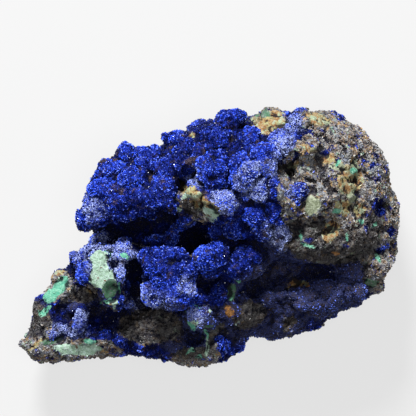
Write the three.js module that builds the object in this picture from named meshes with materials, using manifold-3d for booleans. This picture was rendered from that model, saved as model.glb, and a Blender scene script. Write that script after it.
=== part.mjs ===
// An azurite specimen: a hand-sized lump of vein rock whose display side is covered with rounded masses of
// azurite, with malachite and iron-stained rock showing where the crust is broken. It grew as one piece, so
// it is one solid. It lies on its broken back, display side up. Millimetres, +Z up, +X along the length.

import * as THREE from 'three';
import { ImprovedNoise } from 'three/addons/math/ImprovedNoise.js';
import { MarchingCubes } from 'three/addons/objects/MarchingCubes.js';
import { mergeVertices } from 'three/addons/utils/BufferGeometryUtils.js';
import Module from 'manifold-3d';

const wasm = await Module();
wasm.setup();

// Driving dimensions, in millimetres.
const waist = 17; // height of the widest outline above the back
const tailWaist = 12; // the same at the thin lower-left end
const drawIn = 11; // how far the walls draw in from the waist to the back
const ground = 27; // top of the plain rock body under the masses
const tailGround = 20;
const bodyEdge = 9; // rounding of the rock body's upper edge
const sunk = 4; // how far the rough body reaches below the cut it rests on
const crease = 1; // how softly the azurite runs into the rock
const rockBlend = 3.5; // the same between masses of rock
const lip = 1; // and where a hollow meets the surface
const grainBand = 7; // the grain is only worked out this near to the surface

// Grain of the surface: size of each pattern and how far it lifts or sinks the surface.
const drift = { size: 15, reach: 1.3 }; // slow wandering of every edge
const lumps = { size: 9, reach: 1.8, level: 0.55 }; // rounded azurite
const crags = { size: 8, reach: 3.6 }; // broken rock

// The body is worked out on a cubic grid, turned so that no row of faces follows the specimen's length.
const cell = 3.45;
const cellsAcross = 56;
const gridTurn = new THREE.Matrix4().makeRotationFromEuler(new THREE.Euler(0.35, 0.3, 0.55));
gridTurn.setPosition(0, 0, 28);
const mostFaces = 20000;
const leastShare = 0.09; // keeps corners this share of a cell away from grid points
const easing = [0.5, -0.52, 0.5, -0.52]; // each round moves the corners towards or from their neighbours
const halfLength = 74; // nothing lies outside these
const halfWidth = 52;
const highest = 66;

// The widest outline seen from above, anticlockwise from the right-hand end, x and y.
const outline = [
  [67, 7], [65, 14], [61, 18], [60, 26], [56, 31], [52, 38], [44, 43], [34, 44.5], [23, 46.5], [13, 44],
  [4, 43.5], [-5, 40], [-13, 36], [-19, 34], [-21, 32], [-29, 32], [-37, 29], [-41, 22], [-44, 14],
  [-47.5, 6], [-44, 0], [-48, -8], [-55, -13], [-58, -22], [-64, -28], [-66, -35], [-64.5, -45],
  [-57, -43.5], [-46, -42], [-30, -42], [-17, -44], [-3, -46.5], [6, -45], [12, -37], [26, -36],
  [37, -31], [45, -25], [56, -19], [60, -14], [62, -8], [66.5, -2],
].map(([x, y]) => new THREE.Vector2(x, y));

// Masses: x, y, height of the top, radius across, radius along, turn in degrees, and the radius upwards
// when it isn't the mean of the other two.
const azuriteMasses = {
  upperLeftLobe: [
    [-29, 16, 46, 16, 14, 20, 16], [-30, 29, 36, 5, 4, 0], [-21.5, 28, 41, 6, 5, 0],
    [-35, 24, 41, 6, 5, 0], [-28, 21, 49, 6, 5, 0], [-39, 17.5, 42, 6, 6, 0], [-23, 15, 50, 7, 6, 0],
    [-40, 10, 42, 6, 5, 0], [-31, 12, 49, 7, 6, 0], [-44, 6, 37, 5, 5, 0, 7], [-16, 25, 44, 6, 6, 0],
    [-15, 18, 46, 6, 6, 0], [-14, 12, 44, 5, 5, 0],
  ],
  upperRidge: [
    [-1, 34, 40, 18, 8, 18, 15], [5.5, 41, 42, 5, 4, 0], [9.5, 42, 40, 4, 4, 0], [-4, 37, 39, 4, 4, 20],
    [-12, 34, 37, 6, 4, 0], [3.5, 33, 47, 8, 7, 0], [15, 33, 52, 8, 7, 0], [11, 28, 55, 7, 6, 0],
    [-8, 28, 44, 6, 5, 0], [32.5, 39, 48, 8, 6, -10], [27, 33, 54, 7, 6, 0],
  ],
  middleMasses: [
    [13, 15, 53, 18, 15, 0, 22], [2, 23.5, 58, 9, 8, 0], [14, 22, 61, 9, 8, 0], [22, 16, 61, 8, 7, 0],
    [20, 28, 59, 6, 6, 0], [25, 10, 58, 7, 6, 0], [18, 7, 57, 7, 6, 0], [23, 0, 53, 8, 7, 0, 12],
    [30, -3, 50, 7, 6, 0, 10], [11, 13, 58, 6, 6, 0], [11.5, 4, 52, 6, 5.5, 0],
    [2, 2, 47, 4.5, 4.5, 0, 8], [-15.5, 4.3, 34, 4, 4, 0], [-9, 6.5, 43, 4, 3.5, 0, 8],
  ],
  lowerLobe: [
    [-14.5, -12, 51, 11, 10, 0, 20], [-20.5, -19, 49, 6, 5.5, 0, 12], [-13, -19.5, 52, 7, 6, 0, 12],
    [-11.6, -4.5, 51, 4.5, 4, 0, 9], [-20, -8.5, 47, 6, 6, 0, 10], [-7.5, -12, 49, 6, 6, 0, 10],
    [-6, -18, 47, 5.5, 5, 0, 10],
  ],
  ballAndBeside: [
    [0.5, -8, 54, 6.2, 6.2, 0, 8], [11.5, -9, 50, 8, 7, 0, 15], [7, -14, 47, 6, 6, 0, 12],
    [4, -20, 45, 8, 7, 0, 14],
  ],
  hollowFloor: [[-20.5, -0.5, 30, 8, 6, -20, 9]],
  leftLobe: [
    [-39, -10, 40, 9, 9.5, 0, 18], [-38.6, -1, 40, 5.5, 5, 0, 9], [-46, -8, 35, 5.5, 5, 0, 9],
    [-29.8, -6, 45, 5.5, 5.5, 0, 9], [-35, -19, 46, 6, 6, 0, 12], [-43.5, -13.5, 43, 5.5, 5.5, 0, 9],
    [-38.5, -7.5, 46, 6, 5, 0, 9], [-33.5, -12, 46, 5.5, 5, 0, 9], [-45, -27, 34, 4, 4, 0, 8],
  ],
  lowerLedge: [[-49.5, -33.2, 30, 11, 5, -6, 8], [-31, -34, 30, 9, 5, 0, 8], [-27, -30.5, 30, 5, 4, 0]],
  lowerMiddle: [
    [-3.5, -28.5, 43, 8, 7.5, 0, 14], [6.5, -38, 33, 5, 5, 0], [13.5, -27, 38, 8, 8, 0, 12],
    [20, -22, 38, 7, 6, 0, 10],
  ],
};

const rockMasses = {
  rightShoulder: [
    [41, 15, 50, 22, 28, 0, 30], [30, 31, 57, 9, 7, 15, 14], [45, 32, 47, 10, 9, 0, 16],
    [52, 17, 46, 10, 10, 0, 16], [49, 1, 46, 12, 11, 0, 18], [37, -1, 51, 12, 9, 0, 18],
    [55, 26, 38, 7, 7, 0, 12], [38, 14, 56, 12, 9, 30, 14],
  ],
  rightKnob: [[60.5, 10, 34, 6, 7, 0, 10], [61.5, 2, 30, 5, 6, 0, 9], [61, -6, 29, 4.5, 4.5, 0, 8]],
  topBoss: [[22, 40, 46, 7, 6.5, 0, 12], [40.5, 41, 43, 7, 4, -10, 10]],
  brokenRim: [
    [-1, 12, 55, 12, 7, -35, 14], [-11, 12.5, 53, 4.5, 4, 0, 9], [-7.5, 16.5, 58, 4.5, 4, 0, 8],
    [-2.5, 13.5, 60, 4.5, 3.5, -30], [2.5, 9, 59, 4.5, 4, 0], [7, 12, 59, 5.5, 5, 0],
  ],
  rightLedge: [
    [37, -21.5, 39, 21, 7.5, 12, 16], [57, -15.5, 33, 5, 4.5, 0, 9], [48, -18.5, 38, 7, 6, 10, 12],
    [24.5, -30, 33, 9, 6, 0, 12], [36, -26, 34, 9, 6, 15, 12],
  ],
  leftTip: [[-58.5, -26, 27, 7, 7, 0], [-62, -36, 25, 5, 7, 0, 9], [-52.5, -17.5, 30, 6, 7, 30, 10]],
  lowerEdge: [
    [-46, -38.5, 28, 22, 5.5, 3, 9], [-19, -38, 31, 12, 7, 0, 10], [-4.5, -40, 35, 8, 6, 0, 12],
    [1.5, -37, 38, 4, 7, 0, 12],
  ],
  amberBoss: [[7, -26.5, 44, 5.5, 6, 0, 14]],
};

// Hollows: x, y, height of the bottom, radius across, radius along, turn in degrees, radius upwards.
const hollows = {
  underUpperLeftLobe: [
    [-37, 1, 16, 9, 4.4, 14, 12], [-28, 3.5, 14, 8, 5.4, 6, 14], [-18, 6, 17, 7, 5, 4, 14],
    [-46, -1.5, 13, 6, 3.4, 20, 12],
  ],
  besideUpperLeftLobe: [[-11.5, 18, 36, 2.4, 9, 6, 13], [-9, 9, 36, 3, 4, 0, 10]],
  centralCave: [[-7.4, -0.5, 10, 7.2, 5.6, 20, 22]],
  besideLowerLobe: [
    [-28.7, -11.5, 14, 3.4, 7, -12, 18], [-27.5, -19.5, 11, 4, 6, 4, 20], [-25.5, -25.5, 14, 5, 4, 0, 16],
  ],
  aboveLowerLedge: [
    [-41, -27.3, 14, 6, 3.4, 10, 14], [-33.5, -28.8, 11, 7, 4.4, 0, 17], [-19, -28.5, 20, 8, 4, -12, 18],
    [-7, -36.5, 25, 4, 3, 0, 14],
  ],
  leftLobe: [
    [-47, -20.5, 24, 5.5, 3.6, 10, 14], [-35, -19.5, 36, 2.6, 2.6, 0, 8],
    [-36.5, -9.5, 37, 2.4, 2.4, 0, 8],
  ],
  underRightShoulder: [
    [24, -13.5, 24, 8, 3.8, 6, 14], [36, -12.5, 21, 9, 4, 8, 13], [48, -9.5, 25, 8, 3.4, 20, 11],
    [16, -17.5, 26, 5, 3.8, 40, 14],
  ],
  shoulder: [
    [28, 26.5, 47, 4.2, 2.6, 10, 9], [36, 22.6, 47, 5, 1.8, 0, 9], [38.5, 4.5, 43, 5.8, 4, 0, 12],
    [53, 21, 38, 3, 2.4, 0, 9],
  ],
  knob: [[62, 11, 27, 2.4, 2.4, 0, 8], [61.8, 2.2, 24, 2.4, 2.6, 0, 8]],
  rim: [[-7.3, 11, 46, 3.6, 3.4, 0, 12], [-8, 24, 32, 4, 4, 0, 14]],
  besideBall: [
    [-4.3, -15.5, 33, 2, 7, 14, 12], [6.3, -6, 36, 1.8, 5, -20, 10], [1, -14.8, 36, 4.5, 1.6, 0, 10],
  ],
  crater: [[11.7, 4, 46, 2.6, 2.6, 0, 7]],
  lobeCleft: [[-20, 23.5, 39, 1.8, 5, -25, 9], [-33.5, 19, 43, 1.8, 4, 40, 7]],
  crestNotch: [[12.5, 41.5, 31, 3.6, 2.6, 0, 12]],
};

const noise = new ImprovedNoise();

// Smooth noise from -1 to 1 with swells of the given size.
function swell(p, size, layer) {
  return noise.noise(p.x / size + layer * 17.3, p.y / size - layer * 9.1, p.z / size + layer * 5.7);
}

// A fixed number from 0 to 1 for each block of space and each channel.
function chance(i, j, k, channel) {
  const mixed = Math.sin(i * 127.1 + j * 311.7 + k * 74.7 + channel * 53.3) * 43758.5453;
  return mixed - Math.floor(mixed);
}

// The nearest scattered seed point: its distance as a share of the spacing, and the way to it.
function nearestSeed(p, size) {
  const at = p.clone().divideScalar(size);
  const [i, j, k] = [Math.floor(at.x), Math.floor(at.y), Math.floor(at.z)];
  let best = { distance: 9 };
  for (let a = i - 1; a <= i + 1; a++) {
    for (let b = j - 1; b <= j + 1; b++) {
      for (let c = k - 1; c <= k + 1; c++) {
        const away = new THREE.Vector3(a, b, c).sub(at);
        away.add(new THREE.Vector3(chance(a, b, c, 1), chance(a, b, c, 2), chance(a, b, c, 3)));
        const distance = away.length();
        if (distance < best.distance) best = { distance, away, block: [a, b, c] };
      }
    }
  }
  return best;
}

// Rounded swellings with sharp creases between them.
function lumpLift(p) {
  return lumps.reach * (lumps.level - nearestSeed(p, lumps.size).distance);
}

// Flat broken faces, each tilted its own way.
function cragLift(p) {
  const seed = nearestSeed(p, crags.size);
  const tilt = [4, 5, 6].map((channel) => chance(...seed.block, channel) - 0.5);
  return crags.reach * (tilt[0] * seed.away.x + tilt[1] * seed.away.y + tilt[2] * seed.away.z);
}

// The smaller of two depths with the corner between them rounded, and the larger with the corner filled.
function softMin(a, b, width) {
  const near = Math.max(width - Math.abs(a - b), 0) / width;
  return Math.min(a, b) - near * near * width * 0.25;
}

const softMax = (a, b, width) => -softMin(-a, -b, width);

// How deep a point lies inside the outline, seen from above.
function inset(p) {
  let nearest = Infinity;
  let inside = false;
  outline.forEach((a, i) => {
    const b = outline[(i + 1) % outline.length];
    const edge = b.clone().sub(a);
    const [dx, dy] = [p.x - a.x, p.y - a.y];
    const along = THREE.MathUtils.clamp((dx * edge.x + dy * edge.y) / edge.lengthSq(), 0, 1);
    nearest = Math.min(nearest, Math.hypot(dx - along * edge.x, dy - along * edge.y));
    if (a.y > p.y !== b.y > p.y && dx < (edge.x * dy) / edge.y) inside = !inside;
  });
  return inside ? nearest : -nearest;
}

// How deep a point lies inside a turned egg.
function eggDepth(p, middleHeight, upwards, [cx, cy, , across, along, turn]) {
  const angle = THREE.MathUtils.degToRad(turn);
  const [dx, dy] = [p.x - cx, p.y - cy];
  const u = (dx * Math.cos(angle) + dy * Math.sin(angle)) / across;
  const v = (-dx * Math.sin(angle) + dy * Math.cos(angle)) / along;
  const w = (p.z - middleHeight) / upwards;
  return (1 - Math.hypot(u, v, w)) * Math.min(across, along, upwards);
}

function massDepth(p, row) {
  const upwards = row[6] ?? (row[3] + row[4]) / 2;
  return eggDepth(p, row[2] - upwards, upwards, row);
}

function hollowDepth(p, row) {
  return eggDepth(p, row[2] + row[6], row[6], row);
}

// How deep a point lies inside the plain rock body.
function bodyDepth(p) {
  const tail = 1 - THREE.MathUtils.smoothstep(p.x, -62, -12);
  const widest = THREE.MathUtils.lerp(waist, tailWaist, tail);
  const top = THREE.MathUtils.lerp(ground, tailGround, tail);
  const drawn = drawIn * THREE.MathUtils.clamp((widest - p.z) / widest, 0, 1.3) ** 1.5;
  return softMin(inset(p) - drawn, top - p.z, bodyEdge);
}

const rowsOf = (groups) => Object.values(groups).flat();
const azuriteRows = rowsOf(azuriteMasses);
const rockRows = rowsOf(rockMasses);
const hollowRows = rowsOf(hollows);

// How deep a point lies inside the specimen, negative outside it.
function depthAt(place) {
  const wander = new THREE.Vector3(...[1, 2, 3].map((layer) => swell(place, drift.size, layer)));
  const p = place.clone().addScaledVector(wander, drift.reach);
  let rock = bodyDepth(p);
  for (const row of rockRows) rock = softMax(rock, massDepth(p, row), rockBlend);
  let azurite = -Infinity;
  for (const row of azuriteRows) azurite = Math.max(azurite, massDepth(p, row));
  let depth = softMax(rock, azurite, crease);
  if (Math.abs(depth) < grainBand) depth += azurite > rock - 1 ? lumpLift(p) : cragLift(p);
  for (const row of hollowRows) depth = softMin(depth, -hollowDepth(p, row), lip);
  return Math.min(depth, place.z + sunk);
}

// The surface where the depth is nil, as a closed shape.
function grownShape() {
  const grid = new MarchingCubes(cellsAcross, new THREE.MeshStandardMaterial(), false, false, mostFaces);
  grid.isolation = 0;
  grid.field.fill(-cell);
  const half = cellsAcross / 2;
  const least = leastShare * cell;
  const place = new THREE.Vector3();
  for (let k = 1; k < cellsAcross - 1; k++) {
    for (let j = 1; j < cellsAcross - 1; j++) {
      for (let i = 1; i < cellsAcross - 1; i++) {
        place.set(i - half, j - half, k - half).multiplyScalar(cell).applyMatrix4(gridTurn);
        if (Math.abs(place.x) > halfLength || Math.abs(place.y) > halfWidth) continue;
        if (place.z > highest || place.z < -sunk - cell) continue;
        const depth = depthAt(place);
        grid.setCell(i, j, k, Math.abs(depth) < least ? Math.sign(depth || 1) * least : depth);
      }
    }
  }
  grid.update();
  const shape = new THREE.BufferGeometry();
  const corners = grid.positionArray.slice(0, grid.count * 3);
  shape.setAttribute('position', new THREE.BufferAttribute(corners, 3));
  shape.scale(half * cell, half * cell, half * cell).applyMatrix4(gridTurn);
  return mergeVertices(shape, 1e-3);
}

// Evens out the faces without shrinking the shape.
function ease(shape) {
  const place = shape.getAttribute('position');
  const faces = shape.index.array;
  for (const share of easing) {
    const sums = Array.from({ length: place.count }, () => [0, 0, 0, 0]);
    for (let f = 0; f < faces.length; f += 3) {
      for (let c = 0; c < 3; c++) {
        const sum = sums[faces[f + c]];
        const next = faces[f + ((c + 1) % 3)];
        sum[0] += place.getX(next);
        sum[1] += place.getY(next);
        sum[2] += place.getZ(next);
        sum[3] += 1;
      }
    }
    sums.forEach(([x, y, z, count], i) => {
      const [px, py, pz] = [place.getX(i), place.getY(i), place.getZ(i)];
      place.setX(i, px + share * (x / count - px));
      place.setY(i, py + share * (y / count - py));
      place.setZ(i, pz + share * (z / count - pz));
    });
  }
  return shape;
}

// A closed three.js shape as a solid.
function solidOf(shape) {
  return new wasm.Manifold(new wasm.Mesh({
    numProp: 3,
    vertProperties: shape.getAttribute('position').array,
    triVerts: new Uint32Array(shape.index.array),
  }));
}

function boxBelow() {
  const box = new THREE.BoxGeometry(400, 400, 100).translate(0, 0, -50);
  box.deleteAttribute('normal');
  box.deleteAttribute('uv');
  return solidOf(mergeVertices(box));
}

// The largest of the closed pieces that a cut leaves.
function largest(solid) {
  return solid.decompose().sort((a, b) => b.volume() - a.volume())[0];
}

function specimenMesh() {
  const { vertProperties, triVerts } = largest(solidOf(ease(grownShape())).subtract(boxBelow())).getMesh();
  const geometry = new THREE.BufferGeometry();
  geometry.setAttribute('position', new THREE.BufferAttribute(vertProperties, 3));
  geometry.setIndex(new THREE.BufferAttribute(triVerts, 1));
  geometry.computeBoundingBox();
  const middle = geometry.boundingBox.getCenter(new THREE.Vector3());
  geometry.translate(-middle.x, -middle.y, 0);
  const azurite = new THREE.MeshStandardMaterial({ color: 0x26348f, roughness: 0.55, metalness: 0 });
  const mesh = new THREE.Mesh(geometry, azurite);
  mesh.name = 'azurite_specimen';
  return mesh;
}

const specimen = new THREE.Group();
specimen.add(specimenMesh());

export default specimen;
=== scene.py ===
import math

import bmesh
import bpy
import numpy as np
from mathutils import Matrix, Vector, kdtree, noise
from mathutils.bvhtree import BVHTree


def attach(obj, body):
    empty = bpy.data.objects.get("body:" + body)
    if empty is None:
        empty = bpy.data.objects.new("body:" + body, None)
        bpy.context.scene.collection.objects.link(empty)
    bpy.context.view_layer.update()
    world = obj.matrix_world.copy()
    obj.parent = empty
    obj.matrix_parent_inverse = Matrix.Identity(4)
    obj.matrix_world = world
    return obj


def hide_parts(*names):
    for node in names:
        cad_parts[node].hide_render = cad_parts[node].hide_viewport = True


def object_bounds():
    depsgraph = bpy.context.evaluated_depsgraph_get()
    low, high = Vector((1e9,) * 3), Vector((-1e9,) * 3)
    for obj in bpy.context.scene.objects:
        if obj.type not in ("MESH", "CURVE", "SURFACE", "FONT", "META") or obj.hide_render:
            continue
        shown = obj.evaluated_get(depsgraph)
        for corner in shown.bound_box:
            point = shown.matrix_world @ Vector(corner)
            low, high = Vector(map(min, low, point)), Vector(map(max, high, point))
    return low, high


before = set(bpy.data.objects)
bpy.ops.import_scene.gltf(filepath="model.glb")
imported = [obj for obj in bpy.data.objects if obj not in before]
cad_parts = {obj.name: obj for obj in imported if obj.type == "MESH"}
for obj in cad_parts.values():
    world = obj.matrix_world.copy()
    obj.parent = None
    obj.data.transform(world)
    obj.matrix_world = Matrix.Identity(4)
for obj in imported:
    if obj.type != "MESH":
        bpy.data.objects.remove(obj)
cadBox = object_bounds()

# An azurite specimen lying on its back, seen from straight above its display side.
# Positions in the tables are millimetres from the specimen's middle: x to the right, y to the upper edge.

scene = bpy.context.scene
millimetre = 0.001
micron = 1e-6
goldenAngle = 2.39996
# vector noise starts from the clock unless it is given a seed
noise.seed_set(4)


# Camera, lights and floor

stageSettings = {
    "lookAt": (0.18, 10.9),
    "focusHeight": 25.0,
    "cameraRise": 1000.0,
    "widthSeen": 149.76,
    "sensorWidth": 36.0,
    "nearestSeen": 0.05,
    "furthestSeen": 10.0,
    "lightsAim": (0.0, 0.0, 0.03),
    # place, size and power of each light
    "windowLight": ((-0.3, 1.26, 0.98), 0.46, 97.0),
    "overheadFill": ((0.1, -0.1, 1.1), 0.6, 8.0),
    "worldStrength": 0.2,
    "skySeen": 0.84,
    "skyColour": (0.97, 0.985, 1.0, 1.0),
    "floorWidth": 6.0,
    "floorLevel": -0.0004,
    "floorRoughness": 0.7,
    "floorColour": (0.07, 0.07, 0.07, 1.0),
    "floorGlow": 0.7,
}


def makeCamera(settings):
    lens = bpy.data.cameras.new("camera")
    lens.sensor_width = settings["sensorWidth"]
    lens.lens = settings["sensorWidth"] * settings["cameraRise"] / settings["widthSeen"]
    lens.clip_start = settings["nearestSeen"]
    lens.clip_end = settings["furthestSeen"]
    camera = bpy.data.objects.new("camera", lens)
    scene.collection.objects.link(camera)
    x, y = settings["lookAt"]
    height = settings["focusHeight"] + settings["cameraRise"]
    camera.location = Vector((x, y, height)) * millimetre
    scene.camera = camera


def makeAreaLight(name, place, size, power):
    lamp = bpy.data.lights.new(name, "AREA")
    lamp.shape = "DISK"
    lamp.size = size
    lamp.energy = power
    light = bpy.data.objects.new(name, lamp)
    scene.collection.objects.link(light)
    light.location = place
    aim = Vector(stageSettings["lightsAim"]) - Vector(place)
    light.rotation_euler = aim.to_track_quat("-Z", "Y").to_euler()


def makeStage(settings):
    scene.view_settings.view_transform = "Standard"
    world = bpy.data.worlds.new("studio")
    scene.world = world
    world.use_nodes = True
    tree = world.node_tree
    sky = tree.nodes["Background"]
    sky.inputs["Color"].default_value = settings["skyColour"]
    # the studio wall is seen pale, while it lights the specimen only softly
    path = tree.nodes.new("ShaderNodeLightPath")
    level = tree.nodes.new("ShaderNodeMapRange")
    level.inputs["To Min"].default_value = settings["worldStrength"]
    level.inputs["To Max"].default_value = settings["skySeen"]
    tree.links.new(path.outputs["Is Camera Ray"], level.inputs["Value"])
    tree.links.new(level.outputs["Result"], sky.inputs["Strength"])
    for name in ("windowLight", "overheadFill"):
        makeAreaLight(name, *settings[name])
    bpy.ops.mesh.primitive_plane_add(size=settings["floorWidth"], location=(0.0, 0.0, settings["floorLevel"]))
    floor = bpy.context.object
    floor.name = "floor"
    paint = bpy.data.materials.new("paleFloor")
    paint.use_nodes = True
    shader = paint.node_tree.nodes["Principled BSDF"]
    shader.inputs["Base Color"].default_value = settings["floorColour"]
    shader.inputs["Roughness"].default_value = settings["floorRoughness"]
    shader.inputs["Specular IOR Level"].default_value = 0.0
    shader.inputs["Emission Color"].default_value = (1.0, 1.0, 1.0, 1.0)
    shader.inputs["Emission Strength"].default_value = settings["floorGlow"]
    floor.data.materials.append(paint)


makeCamera(stageSettings)
makeStage(stageSettings)
print("stage ready")


# Small helpers for node trees

class Wiring:
    # adds nodes to one tree; an input is named or numbered, and gets a value or the socket that feeds it
    def __init__(self, tree):
        self.tree = tree
        tree.nodes.clear()

    def feed(self, socket, value):
        if isinstance(value, bpy.types.NodeSocket):
            self.tree.links.new(value, socket)
        else:
            socket.default_value = value

    def add(self, kind, inputs=None, **settings):
        node = self.tree.nodes.new(kind)
        for name, value in settings.items():
            setattr(node, name, value)
        for name, value in (inputs or {}).items():
            self.feed(node.inputs[name], value)
        return node

    def math(self, operation, a, b=0.0, c=0.0):
        return self.add("ShaderNodeMath", {0: a, 1: b, 2: c}, operation=operation).outputs[0]

    def times(self, a, b):
        return self.math("MULTIPLY", a, b)

    def scaled(self, a, b, c):
        return self.math("MULTIPLY_ADD", a, b, c)

    def step(self, value, low, high):
        inputs = {"Value": value, "From Min": low, "From Max": high}
        return self.add("ShaderNodeMapRange", inputs, interpolation_type="SMOOTHSTEP").outputs["Result"]

    def mixColour(self, share, a, b):
        # a colour is given by its name or as the socket that feeds it
        a, b = [(*colours[c], 1.0) if isinstance(c, str) else c for c in (a, b)]
        return self.add("ShaderNodeMix", {0: share, 6: a, 7: b}, data_type="RGBA").outputs[2]

    def mixNumber(self, share, a, b):
        return self.add("ShaderNodeMix", {0: share, 2: a, 3: b}, data_type="FLOAT").outputs[0]

    def noise(self, where, pattern, detail, roughness=0.55, distortion=0.0):
        inputs = {"Vector": where, "Scale": 1.0 / patternSizes[pattern], "Detail": detail,
                  "Roughness": roughness, "Distortion": distortion}
        return self.add("ShaderNodeTexNoise", inputs).outputs[0]


# The rock itself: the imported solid, remeshed finely, with azurite lumps and broken rock worked into it

rockSettings = {
    # remeshing
    "voxel": 0.755, "smoothFactor": 0.5, "smoothRounds": 9,
    # gaps made shallower: reach in half widths, soft edge, and how the floor is lifted and eased
    "gapReach": 1.3, "gapSoftness": 0.5, "gapCeilingPercent": 85, "gapsAbove": 12.0,
    "gapEasing": 16, "gapSpread": 8,
    # where the display side starts above the back, and how softly the patches end
    "displayFrom": 7.0, "displayRise": 5.0, "patchEdge": 2.4, "deepEdge": 6.0, "patchSlope": 1.2,
    # how far the crust is drawn in before lumps are raised on it, and how folds are kept out
    "drawnIn": 1.6, "leastDrawnIn": 0.2, "bareSpotRounds": 30, "backRise": 4.0, "foldTries": 4,
    "foldedBelow": 0.4, "foldSpread": 8, "foldEasing": 6.0,
    # pits
    "pitReach": 1.15, "pitSoftness": 0.6, "pitFloor": 6.0,
    # lumps and beads
    "chosenLean": 0.6, "chosenSunk": 0.76, "raiseStride": 0.3,
    "lumps": {"count": 800, "radius": (1.8, 3.0), "sunk": 0.7, "spacing": 1.25, "seed": 11},
    "beads": {"count": 6000, "radius": (1.0, 1.6), "sunk": 0.6, "spacing": 1.25, "seed": 12},
    "ballWander": 0.34, "ballWanderSize": 2.6, "ballReach": 1.1, "leastOutward": 0.15,
    # stretched places
    "longestEdge": 1.4, "strongestPull": 0.8, "relaxRounds": 16, "lastRelaxRounds": 10,
    # broken faces
    "faceReach": 1.15, "faceSoftness": 0.25, "facePull": 0.9, "faceThickness": 6.0,
    "faceLevelPercent": 60, "fewestFacePoints": 8, "faceCalm": 0.8,
    # broken rock
    "rockBends": ((8.0, 2.5), (2.5, 0.6)), "cragSize": 7.5, "cragHeight": 0.6,
    "cragFractal": (0.9, 2.1, 4, 1.0, 2.0), "blockSizes": ((4.4, 0.7), (2.1, 0.5)),
    "blockTilt": 1.6, "gritSize": 1.7, "gritHeight": 0.5, "layerMiddle": (15.0, 5.0),
    "layerSize": 2.2, "layerWaves": 5.0, "layerHeight": 0.45, "flatBack": 3.0, "aboveSolid": 1.0,
    # hollows, as rounds of evening, and how open each place is
    "pitRounds": {"finePit": 5, "middlePit": 14, "widePit": 40},
    "openRays": 12, "openReach": 9.0, "rayStart": 0.25,
    # spots without crystals
    "baldSize": 2.4, "baldFrom": 0.42,
}

# Lumps that stand out, listed one by one: x, y, radius and, for some, how far they are raised.
chosenLumps = [
    # upper left lobe
    (-30, 30.7, 4), (-21.4, 28.5, 4.6), (-35.1, 25, 4.6), (-28.3, 21, 4.4), (-38.7, 18.1, 5.2),
    (-24.3, 15.9, 5.6), (-39.8, 10.5, 5), (-31.1, 12, 5.6), (-45.5, 5.9, 3.4), (-16, 25.7, 4.6),
    (-14.6, 18.8, 4.8), (-22, 8.6, 4), (-33, 17.6, 3.6), (-17.2, 12.4, 4), (-43, 13.4, 3.6),
    # upper ridge
    (-12.1, 37.2, 3.6), (-4.1, 41.1, 4), (5.6, 43, 4.4), (9.2, 44, 3.4), (-8, 33, 4.6), (-2, 31.5, 4.4),
    (4, 36.5, 4.6), (27, 35, 5), (32, 41.9, 5), (14, 36.5, 4.2), (19, 31, 4.2),
    # middle
    (2, 24.6, 6.4), (14.6, 22.1, 6), (18.5, 17.6, 6), (22.5, 25.5, 4.6), (10.5, 28.5, 4.6),
    (11.7, 4.1, 4.6), (16.6, 8, 4.4), (23, 10, 4.6), (20, 2, 4.4), (2, 2.3, 3.6), (27, 2.6, 3.8),
    (32.4, 16.4, 3.6, 0.8), (38, 2.6, 4.6, 1), (64, 6, 4.4, 1.8), (63, -1.6, 4, 1.6), (-15.7, 4.4, 2.8),
    (-20.7, 0, 4), (-14, -0.6, 3.2), (6, 13, 4.6), (-9, 5.6, 2.6),
    # lower lobe and the ball beside it
    (-14.6, -12.1, 6.6), (-20.9, -19.6, 4.8), (-13.6, -20, 5.2), (-11.7, -4.6, 3.6), (-20.6, -9, 4.4),
    (-7.4, -12, 4.6), (-7, -17.8, 4.2), (0.6, -7.8, 5.6), (11.7, -9.2, 6), (6.6, -13.6, 4), (4.4, -19, 4.4),
    # left lobe
    (-38.7, -0.4, 4.6), (-29.5, -5.7, 4.6), (-45, -6.6, 4), (-31, -13, 2.4), (-44, -12, 3.4),
    (-45.6, -27.6, 2.6, 0.5),
    # lower right edge and the right end of the trench
    (55, -19, 3), (46, -23, 3.2), (40.6, -27.4, 3), (31.4, -31.4, 3.2), (24, -36.4, 3.2), (60, -14, 3.6),
    (52, -10.6, 4.4), (56, -7, 4), (47, -12.4, 3.6), (60.5, -8.6, 3.4), (36, -20, 4), (43, -17.6, 4),
    # lower middle
    (-3, -26.6, 4.6, 3.6), (-6.6, -29.8, 3.4, 2.4), (-0.4, -30, 3.4, 2.2), (-2.6, -23.4, 3.2, 2.4),
    (6.3, -38.4, 3.4, 1), (13, -24, 4.6), (20.3, -33.7, 3.6), (7.4, -26.2, 2.4, 0.8), (-8.6, 25.4, 3.4, 2),
    (-7.2, 20.4, 3, 1), (-10.6, 29, 3.4, 0.5),
]

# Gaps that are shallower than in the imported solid: x, y, half width, half height, turn, lift.
shallowGaps = [
    (-6.4, 24.2, 5, 5.2, 0, 17), (57, -10.4, 11, 5.4, 0, 12), (-46, -23, 4, 4, 0, 6),
    (35, 22.5, 4.6, 5.4, 0, 7), (33.4, 16.6, 3.8, 3.6, 0, 8), (-20, -31, 12, 4.4, 0, 2),
    (-9.4, 11, 2.6, 3, 0, 4),
]

# Faces where the crust broke off flat: x, y, half width, half height, turn, slope to the right and upwards.
brokenFaces = [
    (-38.6, -8.6, 3.4, 4.6, 8, 0, 0.1), (-37.4, -14, 4.4, 4, 0, 0.05, 0.15),
    (-35.2, -19.6, 3.6, 3.4, 0, -0.25, 0.45), (-54.6, -18.4, 5.6, 2.4, 44, 0.3, -0.2),
    (-7.6, 15.6, 3.2, 2, 30, 0.1, 0.3), (0.6, 9.6, 3.2, 2, -32, 0.1, 0.4),
    (7.4, -26.2, 3, 3, 0, 0, 0.2), (38, 11.4, 2.8, 3.6, 0, 0, 0.2), (-46, -40.6, 6, 2.4, 0, 0, 0.5),
    (-58, -39.4, 4, 2.2, 12, 0.1, 0.4),
]

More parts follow.
